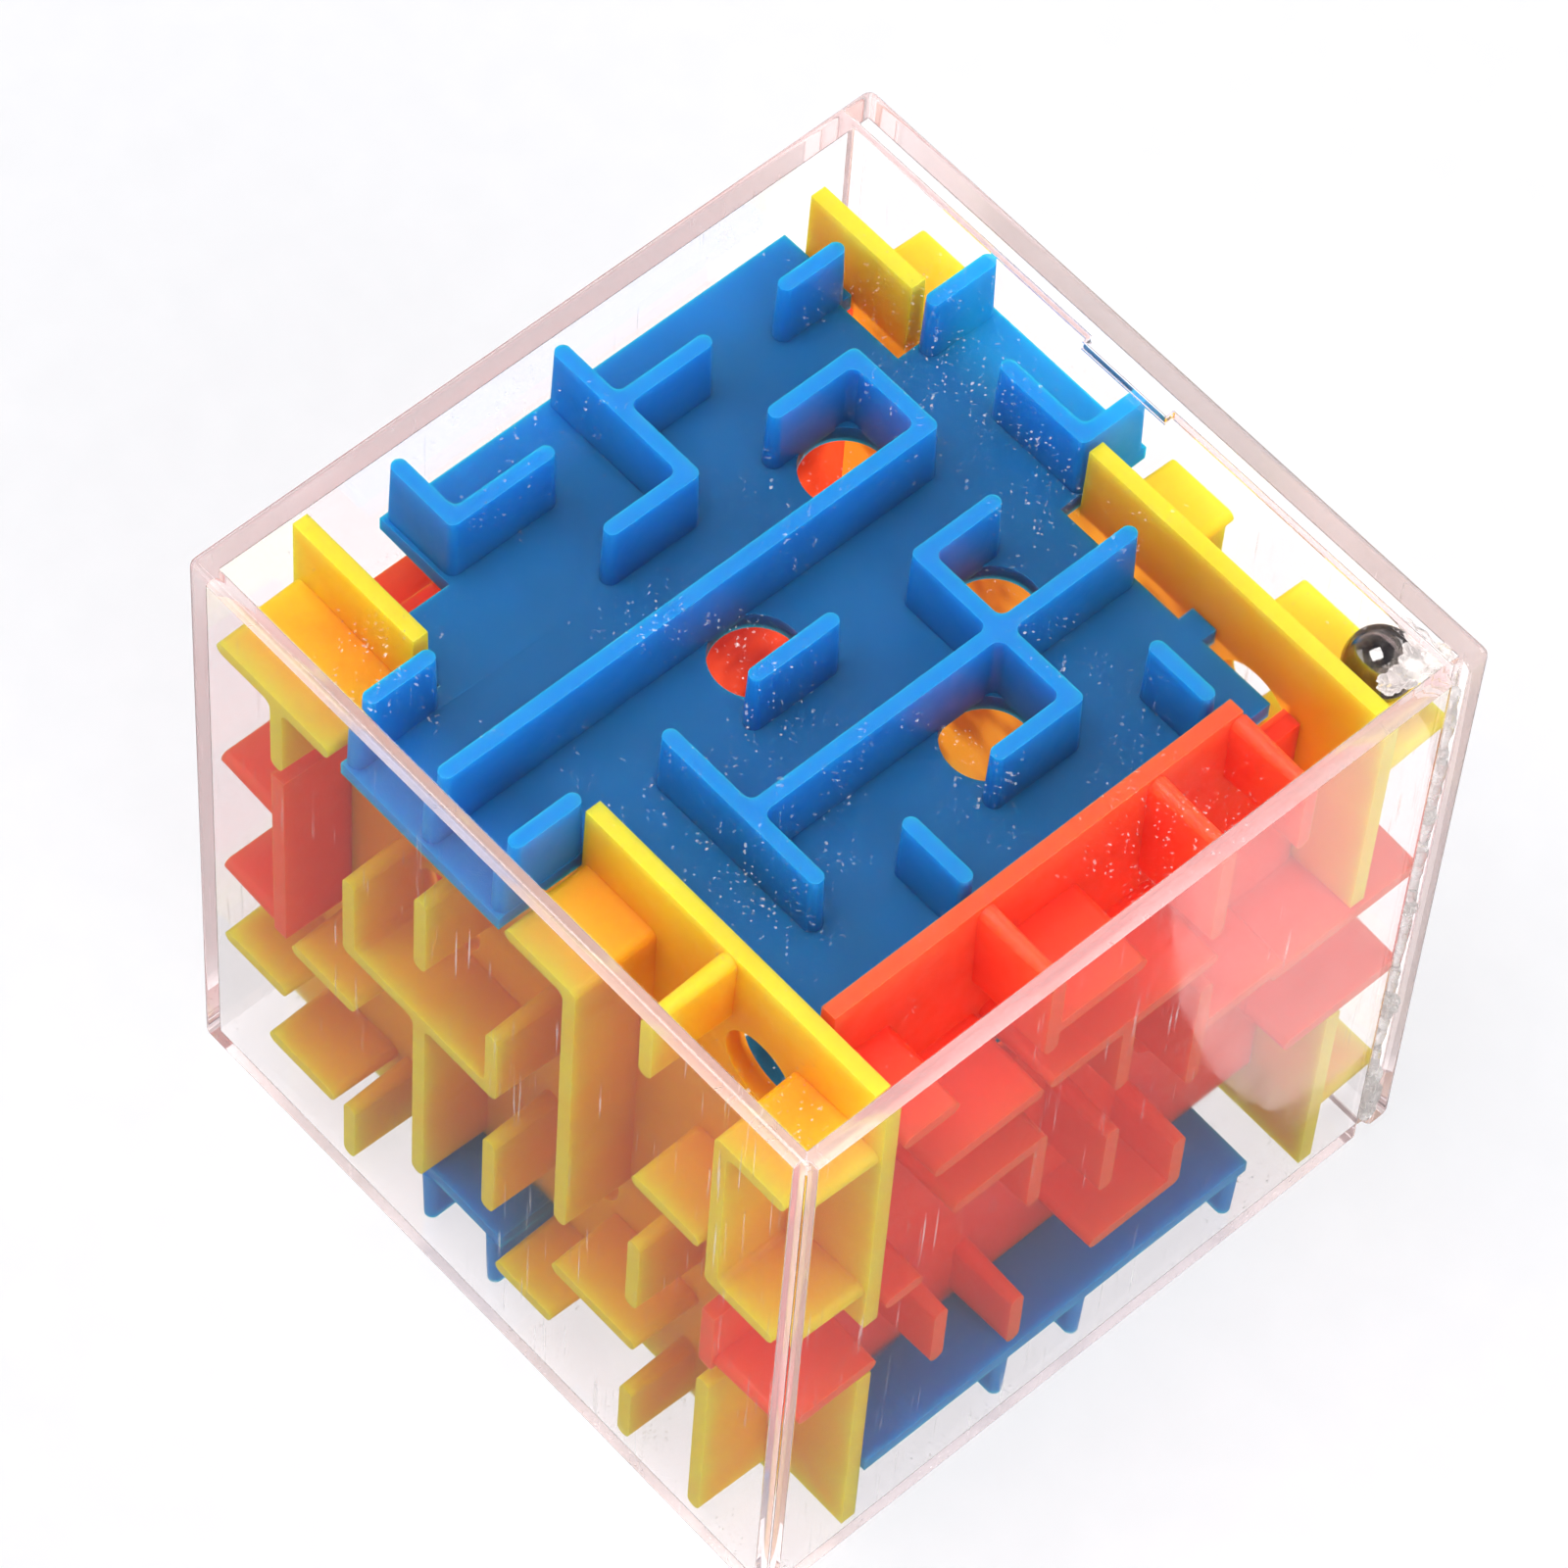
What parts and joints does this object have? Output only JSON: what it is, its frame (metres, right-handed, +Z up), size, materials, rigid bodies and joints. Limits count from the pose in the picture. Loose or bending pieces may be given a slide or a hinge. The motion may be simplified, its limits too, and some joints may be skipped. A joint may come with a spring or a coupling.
{
  "type": "cube maze game",
  "caption": "Clear cube-shaped box holding a hollow core of interlocking blue, yellow and orange-red maze plates, with a small steel ball that rolls through the lanes when the box is tilted.",
  "frame": {"origin": "centre of the square face that the box stands on", "axes": "+Z up, through the blue plate with the ball's ledge beside it; -Y towards the yellow plate opposite the cover; +X towards the orange-red plate beside the cemented seam"},
  "size_m": [0.0404, 0.04, 0.04],
  "materials": {
    "clear_box": "clear polished polystyrene with fine scuffs",
    "cement": "dried clear cement, lumpy and slightly milky",
    "blue_plastic": "translucent blue moulded polystyrene",
    "yellow_plastic": "translucent yellow moulded polystyrene",
    "red_plastic": "translucent orange-red moulded polystyrene",
    "steel": "polished steel ball"
  },
  "bodies": {
    "box": {"case": "clear_box", "cover": "clear_box", "seam_bead": "cement", "corner_smear": "cement", "top_plate": "blue_plastic", "bottom_plate": "blue_plastic", "front_plate": "yellow_plastic", "rear_plate": "yellow_plastic", "left_plate": "red_plastic", "right_plate": "red_plastic"},
    "ball": {"ball": "steel"}
  },
  "joints": [
    {"name": "ball_roll", "type": "slide", "parent": "box", "child": "ball", "axis": [1, 0, 0], "range_m": [-0.0055, 0.0006]}
  ]
}
